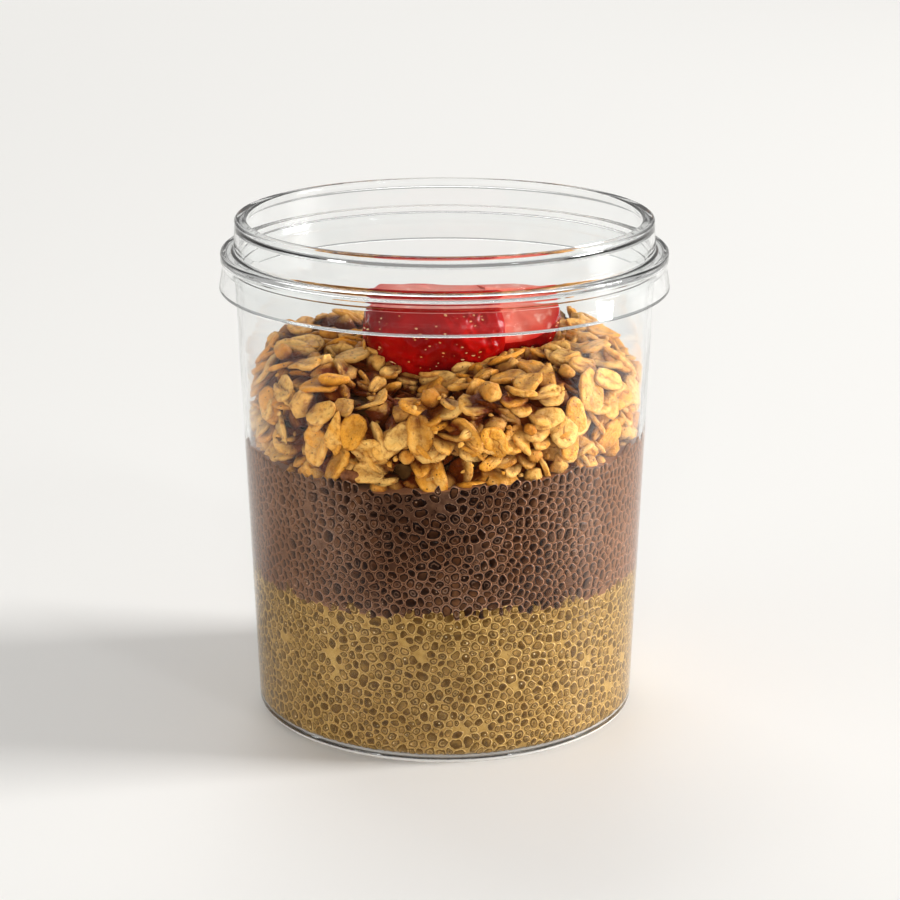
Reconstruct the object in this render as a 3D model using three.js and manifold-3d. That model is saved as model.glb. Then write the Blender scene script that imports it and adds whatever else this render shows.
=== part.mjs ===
// Chia pudding in its clear plastic pot, in millimetres, +Z up.
// The origin is the centre of the pot's foot, and the pot stands on Z = 0.
// The food is built from the bottom up: pale pudding, dark pudding, granola, strawberry.

import * as THREE from 'three';
import { mergeVertices } from 'three/addons/utils/BufferGeometryUtils.js';
import Module from 'manifold-3d';

const wasm = await Module();
wasm.setup();

// Clearance kept between neighbouring pieces.
const GAP = 0.3;

// Segments round the pot, the food layers and a berry.
const POT_SEGMENTS = 60;
const FOOD_SEGMENTS = 48;
const BERRY_SEGMENTS = 20;

// Pot: overall height, wall, and the straight taper of the body.
const POT_HEIGHT = 107.2;
const WALL = 1.15;
const HEEL_Z = 2.2;
const HEEL_RADIUS = 40.9;
const SHOULDER_Z = 99.2;
const SHOULDER_RADIUS = 44.3;
const FOOT_OUTER = 39.1;
const FOOT_INNER = 37.2;
const FLOOR_UNDERSIDE = 0.9;
const FLOOR_TOP = 2.0;

// Rim: flange with a flared skirt below it, neck above it, and a thick lip.
const FLANGE_TOP = 100.4;
const FLANGE_RADIUS = 47.1;
const SKIRT_WAIST_Z = 97.0;
const SKIRT_WAIST_RADIUS = 46.7;
const SKIRT_BOTTOM_Z = 92.6;
const SKIRT_BOTTOM_RADIUS = 47.5;
const SKIRT_WALL = 0.9;
const NECK_OUTER = 44.0;
const NECK_WALL = 1.0;
const LIP_INNER = 41.4;
const LIP_DEPTH = 1.4;
const LIP_ROUND = 0.4;
const SEAT_Z = 96.7;

// Food: the heights where one layer meets the next.
const PALE_TOP = 31.7;
const DARK_TOP = 61.6;
const SINK_DEPTH = 2.8; // how far the granola has sunk into the dark pudding
const SINK_X = -18;
const SINK_Y = -34;
const SINK_SPREAD = 26;
const HEAP_EDGE = 71.0;
const HEAP_CREST = 82.5;
const HEAP_CENTRE = 80.5;
const CREST_RADIUS = 30.0;
const SHOULDER = 4.5;
const HEAP_DIP = 6;
const DIP_X = -8;
const DIP_Y = -26;
const DIP_SPREAD = 10;

// Strawberry pieces: length and widest diameter of each berry before it is sliced, the
// angles it lies at in degrees, and where its middle is.
const LARGE_BERRY = {
  length: 32, diameter: 27, tilt: -4, turn: -20, middle: new THREE.Vector3(-1.2, -3, 83.2),
};
const SMALL_BERRY = {
  length: 20.6, diameter: 21, tilt: -3, turn: 8, middle: new THREE.Vector3(14.5, 0.5, 85.6),
};
// Each slice faces this way, at this distance from the middle of the berry.
const LARGE_CUTS = [
  { faces: new THREE.Vector3(0.0, 0.05, 1.0), height: 7.5 },
  { faces: new THREE.Vector3(0.93, 0.37, 0.0), height: 9.8 },
];
const SMALL_CUTS = [
  { faces: new THREE.Vector3(0.12, -0.6, 0.79), height: 3.2 },
  { faces: new THREE.Vector3(-0.93, -0.37, 0.0), height: 5.6 },
  { faces: new THREE.Vector3(0.05, 0.12, 0.99), height: 4.7 },
];

// --- Solids ---------------------------------------------------------------

const toManifold = (geometry) => {
  const bare = geometry.clone();
  bare.deleteAttribute('normal');
  bare.deleteAttribute('uv');
  const merged = mergeVertices(bare, 1e-4);
  const solid = new wasm.Manifold(new wasm.Mesh({
    numProp: 3,
    vertProperties: new Float32Array(merged.attributes.position.array),
    triVerts: new Uint32Array(merged.index.array),
  }));
  if (solid.volume() <= 0) {
    throw new Error('solid is inside out');
  }
  return solid;
};

const toGeometry = (solid) => {
  const mesh = solid.getMesh();
  const geometry = new THREE.BufferGeometry();
  geometry.setAttribute('position', new THREE.BufferAttribute(mesh.vertProperties, 3));
  geometry.setIndex(new THREE.BufferAttribute(mesh.triVerts, 1));
  return geometry;
};

// A closed solid of revolution about Z. The outline runs anticlockwise in (radius, z).
const revolve = (outline, segments) => {
  const points = outline.map(([r, z]) => new THREE.Vector2(r, z));
  const geometry = new THREE.LatheGeometry(points, segments);
  geometry.rotateX(Math.PI / 2);
  geometry.deleteAttribute('normal');
  geometry.deleteAttribute('uv');
  return mergeVertices(geometry, 1e-4);
};

// Points on an arc from one angle to another, both in degrees.
const arc = (r, z, radius, from, to, steps) => {
  const points = [];
  for (let i = 0; i <= steps; i += 1) {
    const angle = THREE.MathUtils.degToRad(from + ((to - from) * i) / steps);
    points.push([r + radius * Math.cos(angle), z + radius * Math.sin(angle)]);
  }
  return points;
};

const bodyRadius = (z) => THREE.MathUtils.mapLinear(
  z, HEEL_Z, SHOULDER_Z, HEEL_RADIUS, SHOULDER_RADIUS,
);
const innerRadius = (z) => bodyRadius(z) - WALL;

// --- Pot ------------------------------------------------------------------

const potOutline = () => {
  const heel = HEEL_RADIUS - FOOT_OUTER;
  const neckInner = NECK_OUTER - NECK_WALL;
  return [
    [0, FLOOR_UNDERSIDE],
    [FOOT_INNER - 0.8, FLOOR_UNDERSIDE],
    [FOOT_INNER, 0],
    ...arc(FOOT_OUTER, heel, heel, -90, -8, 4),
    [HEEL_RADIUS, HEEL_Z],
    [SHOULDER_RADIUS, SHOULDER_Z],
    [FLANGE_RADIUS - SKIRT_WALL - 0.3, SHOULDER_Z],
    [SKIRT_WAIST_RADIUS - SKIRT_WALL, SKIRT_WAIST_Z],
    [SKIRT_BOTTOM_RADIUS - SKIRT_WALL, SKIRT_BOTTOM_Z],
    [SKIRT_BOTTOM_RADIUS, SKIRT_BOTTOM_Z],
    [SKIRT_WAIST_RADIUS, SKIRT_WAIST_Z],
    [FLANGE_RADIUS, SHOULDER_Z - 0.4],
    ...arc(FLANGE_RADIUS - 0.5, FLANGE_TOP - 0.5, 0.5, 0, 90, 2),
    [SHOULDER_RADIUS + 0.5, FLANGE_TOP],
    [SHOULDER_RADIUS, FLANGE_TOP + 0.5],
    ...arc(NECK_OUTER - LIP_ROUND, POT_HEIGHT - LIP_ROUND, LIP_ROUND, 0, 90, 2),
    ...arc(LIP_INNER + LIP_ROUND, POT_HEIGHT - LIP_ROUND, LIP_ROUND, 90, 180, 2),
    [LIP_INNER, POT_HEIGHT - LIP_DEPTH],
    [neckInner, POT_HEIGHT - LIP_DEPTH - 0.5],
    [SHOULDER_RADIUS - NECK_WALL, SEAT_Z + 0.5],
    [innerRadius(SEAT_Z), SEAT_Z],
    [innerRadius(FLOOR_TOP + heel), FLOOR_TOP + heel],
    ...arc(innerRadius(FLOOR_TOP) - heel, FLOOR_TOP + heel, heel, -20, -90, 3),
    [0, FLOOR_TOP],
  ];
};

// --- Food layers ----------------------------------------------------------

// The line between the two puddings dips a little away from the front.
const paleTop = (x, y) => PALE_TOP - 0.022 * y + 0.25 * Math.sin(0.13 * x + 0.6);

// The dark pudding's top follows the granola, which has sunk furthest at the front left.
const darkTop = (x, y) => (
  DARK_TOP
  + 0.5 * Math.sin(0.21 * x + 1.1) * Math.cos(0.17 * y)
  + 0.4 * Math.sin(0.33 * y + 0.9)
  - SINK_DEPTH * Math.exp(-((x - SINK_X) ** 2 + (y - SINK_Y) ** 2) / (2 * SINK_SPREAD ** 2))
);

// The heap is rough all over, with lumps about the size of a granola cluster,
// and it sinks where the large strawberry piece was pressed in at the front.
const heapLumps = (x, y) => (
  0.8 * Math.sin(0.47 * x + 0.4) * Math.sin(0.43 * y + 1.9)
  + 0.6 * Math.sin(0.29 * x - 0.37 * y + 2.2)
  - HEAP_DIP * Math.exp(-((x - DIP_X) ** 2 + (y - DIP_Y) ** 2) / (2 * DIP_SPREAD ** 2))
);

// A revolved layer whose top and bottom then follow two given surfaces.
const layer = (outline, low, high, bottomShift, topShift) => {
  const geometry = revolve(outline, FOOD_SEGMENTS);
  const position = geometry.attributes.position;
  for (let i = 0; i < position.count; i += 1) {
    const x = position.getX(i);
    const y = position.getY(i);
    const z = position.getZ(i);
    const share = THREE.MathUtils.clamp((z - low) / (high - low), 0, 1);
    position.setZ(i, z + (1 - share) * bottomShift(x, y) + share * topShift(x, y));
  }
  return geometry;
};

// Rings of points across a flat face, from one radius to another.
const rings = (from, to, z, steps) => {
  const points = [];
  for (let i = 0; i <= steps; i += 1) {
    points.push([THREE.MathUtils.lerp(from, to, i / steps), z]);
  }
  return points;
};

const foodRadius = (z) => innerRadius(z) - GAP;

const palePudding = () => {
  const heel = 2.0;
  const bottom = FLOOR_TOP + GAP;
  const top = PALE_TOP - GAP / 2;
  const outline = [
    ...rings(0, foodRadius(bottom) - heel, bottom, 1),
    ...arc(foodRadius(bottom) - heel, bottom + heel, heel, -60, -30, 1),
    [foodRadius(bottom + heel), bottom + heel],
    [foodRadius(top), top],
    ...rings(foodRadius(top) * 0.8, 0, top, 4),
  ];
  return layer(outline, bottom, top, () => 0, (x, y) => paleTop(x, y) - PALE_TOP);
};

const darkPudding = () => {
  const bottom = PALE_TOP + GAP / 2;
  const top = DARK_TOP - GAP / 2;
  const outline = [
    ...rings(0, foodRadius(bottom), bottom, 5),
    ...rings(foodRadius(top), 0, top, 8),
  ];
  return layer(
    outline,
    bottom,
    top,
    (x, y) => paleTop(x, y) - PALE_TOP,
    (x, y) => darkTop(x, y) - DARK_TOP,
  );
};

// The heap rises from the wall to a rounded crest and dips under the fruit.
const heapHeight = (r) => {
  const wall = foodRadius(HEAP_EDGE);
  if (r < CREST_RADIUS) {
    const t = r / CREST_RADIUS;
    return THREE.MathUtils.lerp(HEAP_CENTRE, HEAP_CREST, t * t);
  }
  const t = (r - CREST_RADIUS) / (wall - CREST_RADIUS);
  return THREE.MathUtils.lerp(HEAP_CREST, HEAP_EDGE, t ** SHOULDER);
};

const granolaHeap = () => {
  const bottom = DARK_TOP + GAP / 2;
  const wall = foodRadius(HEAP_EDGE);
  const outline = [
    ...rings(0, foodRadius(bottom), bottom, 8),
    [foodRadius(HEAP_EDGE - 4), HEAP_EDGE - 4],
    ...rings(wall, 0, 0, 12).map(([r]) => [r, heapHeight(r)]),
  ];
  return layer(
    outline,
    bottom,
    HEAP_EDGE,
    (x, y) => darkTop(x, y) - DARK_TOP,
    heapLumps,
  );
};

// --- Strawberry pieces ----------------------------------------------------

// A berry lies along X: broad shoulder at -X, rounded tip at +X.
const berryRadius = (t, diameter) => {
  const shoulder = Math.sqrt(Math.max(0, 1 - ((1 - t / 0.3) ** 2)));
  const taper = Math.sqrt(Math.max(0, 1 - (((t - 0.3) / 0.7) ** 2.2)));
  return (diameter / 2) * (t < 0.3 ? shoulder : taper);
};

const berry = ({ length, diameter }) => {
  const steps = 14;
  const outline = [];
  for (let i = 0; i <= steps; i += 1) {
    const t = (1 - Math.cos((Math.PI * i) / steps)) / 2;
    const r = i === 0 || i === steps ? 0 : berryRadius(t, diameter);
    outline.push([r, (t - 0.5) * length]);
  }
  const geometry = revolve(outline, BERRY_SEGMENTS);
  geometry.rotateY(Math.PI / 2);
  return geometry;
};

// Everything above a plane, as a slab large enough to slice any berry.
const slab = (normal, height) => {
  const size = 80;
  const geometry = new THREE.BoxGeometry(size, size, size);
  geometry.translate(0, 0, size / 2 + height);
  const turn = new THREE.Quaternion().setFromUnitVectors(
    new THREE.Vector3(0, 0, 1),
    normal.clone().normalize(),
  );
  geometry.applyQuaternion(turn);
  return toManifold(geometry);
};

// A berry laid at its angles, with flat slices taken off, then set down in the heap.
const slicedBerry = (size, cuts, swell) => {
  const geometry = berry(size);
  geometry.scale(swell, swell, swell);
  const tilt = THREE.MathUtils.degToRad(size.tilt);
  const turn = THREE.MathUtils.degToRad(size.turn);
  const lie = new THREE.Euler(0, tilt, turn, 'ZYX');
  geometry.applyQuaternion(new THREE.Quaternion().setFromEuler(lie));
  let solid = toManifold(geometry);
  for (const { faces, height } of cuts) {
    solid = solid.subtract(slab(faces, height * swell + (swell - 1) * 10));
  }
  const placed = toGeometry(solid);
  placed.translate(size.middle.x, size.middle.y, size.middle.z);
  return toManifold(placed);
};

const largeSlice = (swell) => slicedBerry(LARGE_BERRY, LARGE_CUTS, swell);
const smallSlice = (swell) => slicedBerry(SMALL_BERRY, SMALL_CUTS, swell);

// --- Assembly -------------------------------------------------------------

const CLEAR_PLASTIC = new THREE.MeshStandardMaterial({
  color: 0xf2f4f4, roughness: 0.04, metalness: 0, transparent: true, opacity: 0.3,
});
const PALE_CHIA = new THREE.MeshStandardMaterial({ color: 0xa9854f, roughness: 0.35, metalness: 0 });
const DARK_CHIA = new THREE.MeshStandardMaterial({ color: 0x5a3c30, roughness: 0.35, metalness: 0 });
const OATS = new THREE.MeshStandardMaterial({ color: 0xc78f4a, roughness: 0.75, metalness: 0 });
const FRUIT_SKIN = new THREE.MeshStandardMaterial({ color: 0xb31217, roughness: 0.25, metalness: 0 });
const FRUIT_FLESH = new THREE.MeshStandardMaterial({ color: 0xe2594c, roughness: 0.35, metalness: 0 });

const SWELL = 1.04;
const berryLarge = largeSlice(1);
const berrySmall = smallSlice(1);
const heap = toManifold(granolaHeap())
  .subtract(largeSlice(SWELL))
  .subtract(smallSlice(SWELL));

const part = new THREE.Group();
part.name = 'chia_pudding_pot';

const add = (name, geometry, material) => {
  const mesh = new THREE.Mesh(geometry, material);
  mesh.name = name;
  part.add(mesh);
};

add('pot', revolve(potOutline(), POT_SEGMENTS), CLEAR_PLASTIC);
add('chia_pale', palePudding(), PALE_CHIA);
add('chia_dark', darkPudding(), DARK_CHIA);
add('granola', toGeometry(heap), OATS);
add('strawberry_large', toGeometry(berryLarge), FRUIT_SKIN);
add('strawberry_small', toGeometry(berrySmall), FRUIT_FLESH);

export default part;
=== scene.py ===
import bpy
import bmesh
import math
import numpy as np
from mathutils import Matrix, Vector, kdtree, noise


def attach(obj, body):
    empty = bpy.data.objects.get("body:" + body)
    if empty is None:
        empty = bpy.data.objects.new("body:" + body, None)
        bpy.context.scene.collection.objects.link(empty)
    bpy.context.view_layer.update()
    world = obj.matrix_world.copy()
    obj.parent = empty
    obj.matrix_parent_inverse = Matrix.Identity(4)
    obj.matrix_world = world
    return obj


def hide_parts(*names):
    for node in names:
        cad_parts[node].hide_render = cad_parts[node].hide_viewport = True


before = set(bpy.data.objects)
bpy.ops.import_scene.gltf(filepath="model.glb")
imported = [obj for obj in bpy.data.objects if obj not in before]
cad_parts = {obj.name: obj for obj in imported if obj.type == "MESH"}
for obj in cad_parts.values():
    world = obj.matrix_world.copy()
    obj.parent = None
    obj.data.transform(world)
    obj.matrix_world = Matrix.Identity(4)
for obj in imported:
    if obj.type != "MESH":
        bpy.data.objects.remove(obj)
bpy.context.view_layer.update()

# Set: a seamless pale table top, a tall softbox on the right, a panel over the far end of the
# table, a small light for a glint, weak panels in front and on the left, and a dim room. Pale
# screens and black velvet stand round it, for the clear pot to mirror and bend at its edges.
bpy.context.scene.view_settings.view_transform = "Standard"

FLOOR_HALF = 4.0
SCREEN_REACH = 3.6
SCREEN_TALL = 2.4
JUST_ABOVE = 0.001
VELVET_HALF = 1.5
VELVET_LINE = 0.24

room = bpy.data.worlds.new("room")
bpy.context.scene.world = room
room.use_nodes = True
room_nodes = room.node_tree
sky = room_nodes.nodes["Background"]
direction = room_nodes.nodes.new("ShaderNodeTexCoord")
height = room_nodes.nodes.new("ShaderNodeSeparateXYZ")
fade = room_nodes.nodes.new("ShaderNodeValToRGB")
room_nodes.links.new(direction.outputs["Generated"], height.inputs[0])
room_nodes.links.new(height.outputs["Z"], fade.inputs["Fac"])
room_nodes.links.new(fade.outputs["Color"], sky.inputs["Color"])
fade.color_ramp.elements[0].position = 0.0
fade.color_ramp.elements[0].color = (0.40, 0.39, 0.38, 1)
fade.color_ramp.elements[1].position = 0.55
fade.color_ramp.elements[1].color = (1.0, 0.99, 0.97, 1)
sky.inputs["Strength"].default_value = 0.285


def softbox(name, place, aim, width, tall, power, tint):
    lamp = bpy.data.lights.new(name, "AREA")
    lamp.shape = "RECTANGLE"
    lamp.size = width
    lamp.size_y = tall
    lamp.energy = power
    lamp.color = tint
    holder = bpy.data.objects.new(name, lamp)
    holder.location = place
    aim_line = Vector(aim) - Vector(place)
    holder.rotation_euler = aim_line.to_track_quat("-Z", "Y").to_euler()
    bpy.context.collection.objects.link(holder)
    return holder


POT_MIDDLE = (0, 0, 0.06)
softbox("key", (2.5, 0.02, 0.75), POT_MIDDLE, 0.85, 1.3, 114.0, (1.0, 0.988, 0.975))
softbox("overhead", (-0.4, 2.2, 2.0), (-0.1, 1.8, 0.0), 2.2, 1.2, 30.0, (1.0, 0.99, 0.98))
softbox("glint", (1.4, -1.6, 1.0), POT_MIDDLE, 0.2, 0.35, 5.0, (1.0, 1.0, 1.0))
front = softbox("front", (0.0, -2.4, 0.55), POT_MIDDLE, 0.8, 0.8, 32.0, (1.0, 0.98, 0.95))
left = softbox("left", (-1.9, -0.9, 0.4), POT_MIDDLE, 1.2, 0.7, 10.0, (1.0, 0.98, 0.95))
for panel in (front, left):
    panel.visible_glossy = False
    panel.visible_transmission = False


def placed(form, name, smooth=True):
    """Makes a piece from a finished form."""
    mesh = bpy.data.meshes.new(name)
    form.to_mesh(mesh)
    form.free()
    if smooth:
        mesh.shade_smooth()
    piece = bpy.data.objects.new(name, mesh)
    bpy.context.collection.objects.link(piece)
    return piece


def material(name, rough, shine=0.5):
    paint = bpy.data.materials.new(name)
    paint.use_nodes = True
    shader = paint.node_tree.nodes["Principled BSDF"]
    shader.inputs["Roughness"].default_value = rough
    shader.inputs["Specular IOR Level"].default_value = shine
    return paint, paint.node_tree, shader


def link(tree, value, socket):
    """Joins a socket to a node's output, or sets it to a plain number or colour."""
    if isinstance(value, bpy.types.NodeSocket):
        tree.links.new(value, socket)
    elif isinstance(value, tuple):
        socket.default_value = (*value, 1)
    else:
        socket.default_value = value


def maths(tree, how, first, second=0.0):
    sum_node = tree.nodes.new("ShaderNodeMath")
    sum_node.operation = how
    link(tree, first, sum_node.inputs[0])
    link(tree, second, sum_node.inputs[1])
    return sum_node.outputs[0]


def ranged(tree, value, low, high, out_low=0.0, out_high=1.0):
    """Stretches a value from one range to another, and holds it there."""
    fit = tree.nodes.new("ShaderNodeMapRange")
    link(tree, value, fit.inputs["Value"])
    link(tree, low, fit.inputs["From Min"])
    link(tree, high, fit.inputs["From Max"])
    link(tree, out_low, fit.inputs["To Min"])
    link(tree, out_high, fit.inputs["To Max"])
    return fit.outputs["Result"]


def object_place(tree):
    return tree.nodes.new("ShaderNodeTexCoord").outputs["Object"]


def split(tree, vector):
    parts = tree.nodes.new("ShaderNodeSeparateXYZ")
    tree.links.new(vector, parts.inputs[0])
    return parts.outputs


table = bmesh.new()
bmesh.ops.create_grid(table, x_segments=1, y_segments=1, size=FLOOR_HALF)
table_top = placed(table, "table_top", smooth=False)
table_paint, tree, shader = material("table_paint", 0.55)
shader.inputs["Base Color"].default_value = (0.86, 0.855, 0.836, 1)
table_top.data.materials.append(table_paint)

screens = bmesh.new()
bmesh.ops.create_cone(
    screens, cap_ends=False, segments=48, radius1=SCREEN_REACH, radius2=SCREEN_REACH, depth=SCREEN_TALL,
)
bmesh.ops.translate(screens, verts=screens.verts, vec=(0, 0, SCREEN_TALL / 2 + JUST_ABOVE))
pale_screens = placed(screens, "pale_screens", smooth=False)
screen_white, tree, shader = material("screen_white", 0.5, 0.0)
shader.inputs["Base Color"].default_value = (0, 0, 0, 1)
shader.inputs["Emission Color"].default_value = (1.0, 0.995, 0.98, 1)
shader.inputs["Emission Strength"].default_value = 0.42
screen_white.cycles.emission_sampling = "NONE"
pale_screens.data.materials.append(screen_white)

velvet = bmesh.new()
bmesh.ops.create_grid(velvet, x_segments=1, y_segments=1, size=VELVET_HALF)
bmesh.ops.translate(velvet, verts=velvet.verts, vec=(0, -VELVET_HALF, JUST_ABOVE / 2))
black_velvet = placed(velvet, "black_velvet", smooth=False)
velvet_black, tree, shader = material("velvet_black", 1.0, 0.0)
shader.inputs["Base Color"].default_value = (0.04, 0.04, 0.04, 1)
off_line = maths(tree, "ADD", split(tree, object_place(tree))["Y"], VELVET_LINE)
feather = ranged(tree, maths(tree, "ABSOLUTE", off_line), 0.165, 0.115)
feather.node.interpolation_type = "SMOOTHSTEP"
tree.links.new(feather, shader.inputs["Alpha"])
black_velvet.data.materials.append(velvet_black)

for mirrored_only in (pale_screens, black_velvet):
    mirrored_only.visible_camera = False
    mirrored_only.visible_diffuse = False
    mirrored_only.visible_shadow = False

# Camera: just above the rim's height and looking down a little at the whole pot.
CAMERA_BACK = 0.4981
CAMERA_UP = 0.2049
CAMERA_PITCH = 16.68
CAMERA_YAW = -0.13
view = bpy.data.cameras.new("camera")
view.sensor_width = 36
view.lens = 96.4
view.clip_start = 0.01
camera = bpy.data.objects.new("camera", view)
camera.location = (0, -CAMERA_BACK, CAMERA_UP)
camera.rotation_euler = (math.radians(90 - CAMERA_PITCH), 0, math.radians(CAMERA_YAW))
bpy.context.collection.objects.link(camera)
bpy.context.scene.camera = camera

# Pot: one clear moulded shell with a ring foot, a slightly tapered body, a flange
# with a flared skirt hanging from it, and a short neck that ends in a thick lip.
MM = 0.001
WALL = 1.15
HEEL_Z = 2.2
HEEL_RADIUS = 40.9
SHOULDER_Z = 99.2
SHOULDER_RADIUS = 44.3
FLOOR_TOP = 2.0
HEEL_TOP = 3.9
HEEL_BEND = 1.9
POT_STEPS = 256
FLAT_HOLD = 0.08


def body_radius(z):
    """Radius of the tapered body at a height, in mm as all sizes of the pot and food are."""
    return HEEL_RADIUS + (z - HEEL_Z) * (SHOULDER_RADIUS - HEEL_RADIUS) / (SHOULDER_Z - HEEL_Z)


def inner_radius(z):
    return body_radius(z) - WALL


def arc(r, z, radius, start, end, steps):
    turns = [math.radians(start + (end - start) * i / steps) for i in range(steps + 1)]
    return [(r + radius * math.cos(t), z + radius * math.sin(t)) for t in turns]


def spun(outline, steps, unit=MM):
    """A closed form turned from an outline of radius and height."""
    form = bmesh.new()
    ring = [form.verts.new((r * unit, 0, z * unit)) for r, z in outline]
    edges = [form.edges.new(pair) for pair in zip(ring, ring[1:])]
    if outline[0][0] > 0 and outline[-1][0] > 0:
        edges.append(form.edges.new((ring[-1], ring[0])))
    bmesh.ops.spin(
        form, geom=ring + edges, cent=(0, 0, 0), axis=(0, 0, 1),
        angle=math.tau, steps=steps, use_merge=True,
    )
    bmesh.ops.remove_doubles(form, verts=form.verts, dist=1e-7)
    bmesh.ops.recalc_face_normals(form, faces=form.faces)
    return form


def held(outline, gap):
    """Adds a point just inside each end of every long span, so that flat walls stay flat."""
    kept = []
    for start, end in zip(outline, outline[1:]):
        kept.append(start)
        span = math.dist(start, end)
        if span > 4 * gap:
            for share in (gap / span, 1 - gap / span):
                kept.append(tuple(a + (b - a) * share for a, b in zip(start, end)))
    return kept + [outline[-1]]


pot_outline = [
    (0, 0.9), (35.6, 0.9),
    *arc(35.9, 0.4, 0.5, 90, 35, 3),
    (37.1, 0.05), (37.4, 0.0),
    *arc(39.1, 1.8, 1.8, -90, -5, 8),
    (HEEL_RADIUS, HEEL_Z), (SHOULDER_RADIUS, 98.9),
    *arc(44.6, 98.9, 0.3, 180, 90, 3),
    (45.7, 99.2),
    *arc(45.6, 98.7, 0.5, 75, 0, 4),
    (45.85, 97.4), (45.8, 97.0), (45.9, 96.4), (46.55, 92.75),
    *arc(47.02, 92.75, 0.45, 180, 360, 6),
    (46.8, 96.4), (46.7, 97.0), (46.8, 97.5), (47.1, 98.6),
    *arc(46.5, 99.8, 0.6, 0, 90, 5),
    (44.9, 100.4),
    *arc(44.9, 101.0, 0.6, 270, 190, 4),
    (44.2, 102.0), (44.0, 106.5),
    *arc(43.4, 106.6, 0.6, 0, 90, 5),
    *arc(42.0, 106.6, 0.6, 90, 180, 5),
    (41.4, 106.1),
    *arc(41.8, 105.9, 0.4, 180, 250, 3),
    (42.8, 105.2),
    *arc(42.6, 104.7, 0.4, 60, 0, 3),
    (43.3, 97.4),
    *arc(42.9, 97.3, 0.4, 0, -60, 3),
    (inner_radius(96.2), 96.2),
    (inner_radius(HEEL_TOP), HEEL_TOP),
    *arc(inner_radius(HEEL_TOP) - HEEL_BEND, HEEL_TOP, HEEL_BEND, 0, -90, 8),
    (0, FLOOR_TOP),
]
pot = placed(spun(held(pot_outline, FLAT_HOLD), POT_STEPS), "pot_clear")


def grain(tree, place, scale, detail=2.0, rough=0.5):
    cloud = tree.nodes.new("ShaderNodeTexNoise")
    cloud.inputs["Detail"].default_value = detail
    cloud.inputs["Roughness"].default_value = rough
    link(tree, scale, cloud.inputs["Scale"])
    tree.links.new(place, cloud.inputs["Vector"])
    return cloud.outputs["Fac"]


def raised(tree, shader, height, strength, distance):
    """Raises a surface where a pattern is high."""
    bump = tree.nodes.new("ShaderNodeBump")
    bump.inputs["Strength"].default_value = strength
    bump.inputs["Distance"].default_value = distance
    tree.links.new(height, bump.inputs["Height"])
    tree.links.new(bump.outputs["Normal"], shader.inputs["Normal"])


def mixed(tree, share, first, second):
    mix = tree.nodes.new("ShaderNodeMixShader")
    for value, socket in zip((share, first, second), mix.inputs):
        tree.links.new(value, socket)
    return mix.outputs[0]


# Height and reach of a band of painted highlight round the foot.
FOOT_HIGHLIGHT_LEVEL = 0.00085
FOOT_HIGHLIGHT_HALF = 0.0003
FOOT_HIGHLIGHT_FADES = 0.0005

clear_plastic, tree, shell = material("clear_plastic", 0.02)
shell.inputs["Base Color"].default_value = (0.97, 0.98, 0.98, 1)
shell.inputs["IOR"].default_value = 1.3
shell.inputs["Transmission Weight"].default_value = 1.0
place = object_place(tree)
raised(tree, shell, grain(tree, place, 60.0, 1.0), 0.08, 0.001)
# Painted highlight: a narrow pale diffuse band round the foot, mixed into the clear shell, gives the
# foot a bright line.
off_foot = maths(tree, "ABSOLUTE", maths(tree, "SUBTRACT", split(tree, place)["Z"], FOOT_HIGHLIGHT_LEVEL))
foot = ranged(tree, off_foot, FOOT_HIGHLIGHT_HALF, FOOT_HIGHLIGHT_FADES, 0.6, 0.0)
painted_foot_highlight = tree.nodes.new("ShaderNodeBsdfDiffuse")
painted_foot_highlight.inputs["Color"].default_value = (0.90, 0.89, 0.87, 1)
bare = tree.nodes.new("ShaderNodeBsdfTransparent")
bare.inputs["Color"].default_value = (0.98, 0.98, 0.98, 1)
ray = tree.nodes.new("ShaderNodeLightPath")
soft_ray = maths(tree, "MAXIMUM", ray.outputs["Is Shadow Ray"], ray.outputs["Is Diffuse Ray"])
shell_with_foot_highlight = mixed(tree, foot, shell.outputs[0], painted_foot_highlight.outputs[0])
lets_light_in = mixed(tree, soft_ray, shell_with_foot_highlight, bare.outputs[0])
tree.links.new(lets_light_in, tree.nodes["Material Output"].inputs["Surface"])
pot.data.materials.append(clear_plastic)
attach(pot, "root")
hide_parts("pot")

# Puddings: two set layers of chia pudding, pale below and dark above. Each fills the pot
# to just inside its wall, and its swollen seeds lie packed against the clear plastic.
SKIN_DEPTH = 0.30
PALE_TOP = 31.7
DARK_TOP = 61.6
# Height of a thin line of painted shade round the pale layer.
GROOVE_LINE = 28.9
SINK_DEPTH = 2.8
SINK_PLACE = (-18, -34)
SINK_SPREAD = 26
HEEL_CENTRE = inner_radius(HEEL_TOP) - HEEL_BEND
HEEL_ROUND = HEEL_BEND + SKIN_DEPTH
PUDDING_STEPS = 192
EDGE_ROW = 0.3


def pale_line(x, y):
    """Level of the pale pudding's top, where the dark one starts."""
    return PALE_TOP - 0.022 * y + 0.25 * np.sin(0.13 * x + 0.6)


def hollow(x, y, depth, place, spread):
    """Depth of a round dip that flattens out around its place."""
    far = (x - place[0]) ** 2 + (y - place[1]) ** 2
    return depth * np.exp(-far / (2 * spread ** 2))


def dark_line(x, y):
    """Level of the dark pudding's top, which dips where the granola has sunk furthest."""
    wave = 0.5 * np.sin(0.21 * x + 1.1) * np.cos(0.17 * y)
    dip = hollow(x, y, SINK_DEPTH, SINK_PLACE, SINK_SPREAD)
    return DARK_TOP + wave + 0.4 * np.sin(0.33 * y + 0.9) - dip


def skin_point(z, out):
    """Radius and height of the pudding's skin, on the wall or round the heel of the floor."""
    turn = -np.arcsin(np.clip((HEEL_TOP - z) / HEEL_ROUND, 0, 1))
    reach = HEEL_ROUND + out
    on_wall = z >= HEEL_TOP
    on_heel = HEEL_CENTRE + reach * np.cos(turn)
    radius = np.where(on_wall, inner_radius(z) + SKIN_DEPTH + out, on_heel)
    return radius, np.where(on_wall, z, HEEL_TOP + reach * np.sin(turn))


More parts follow.
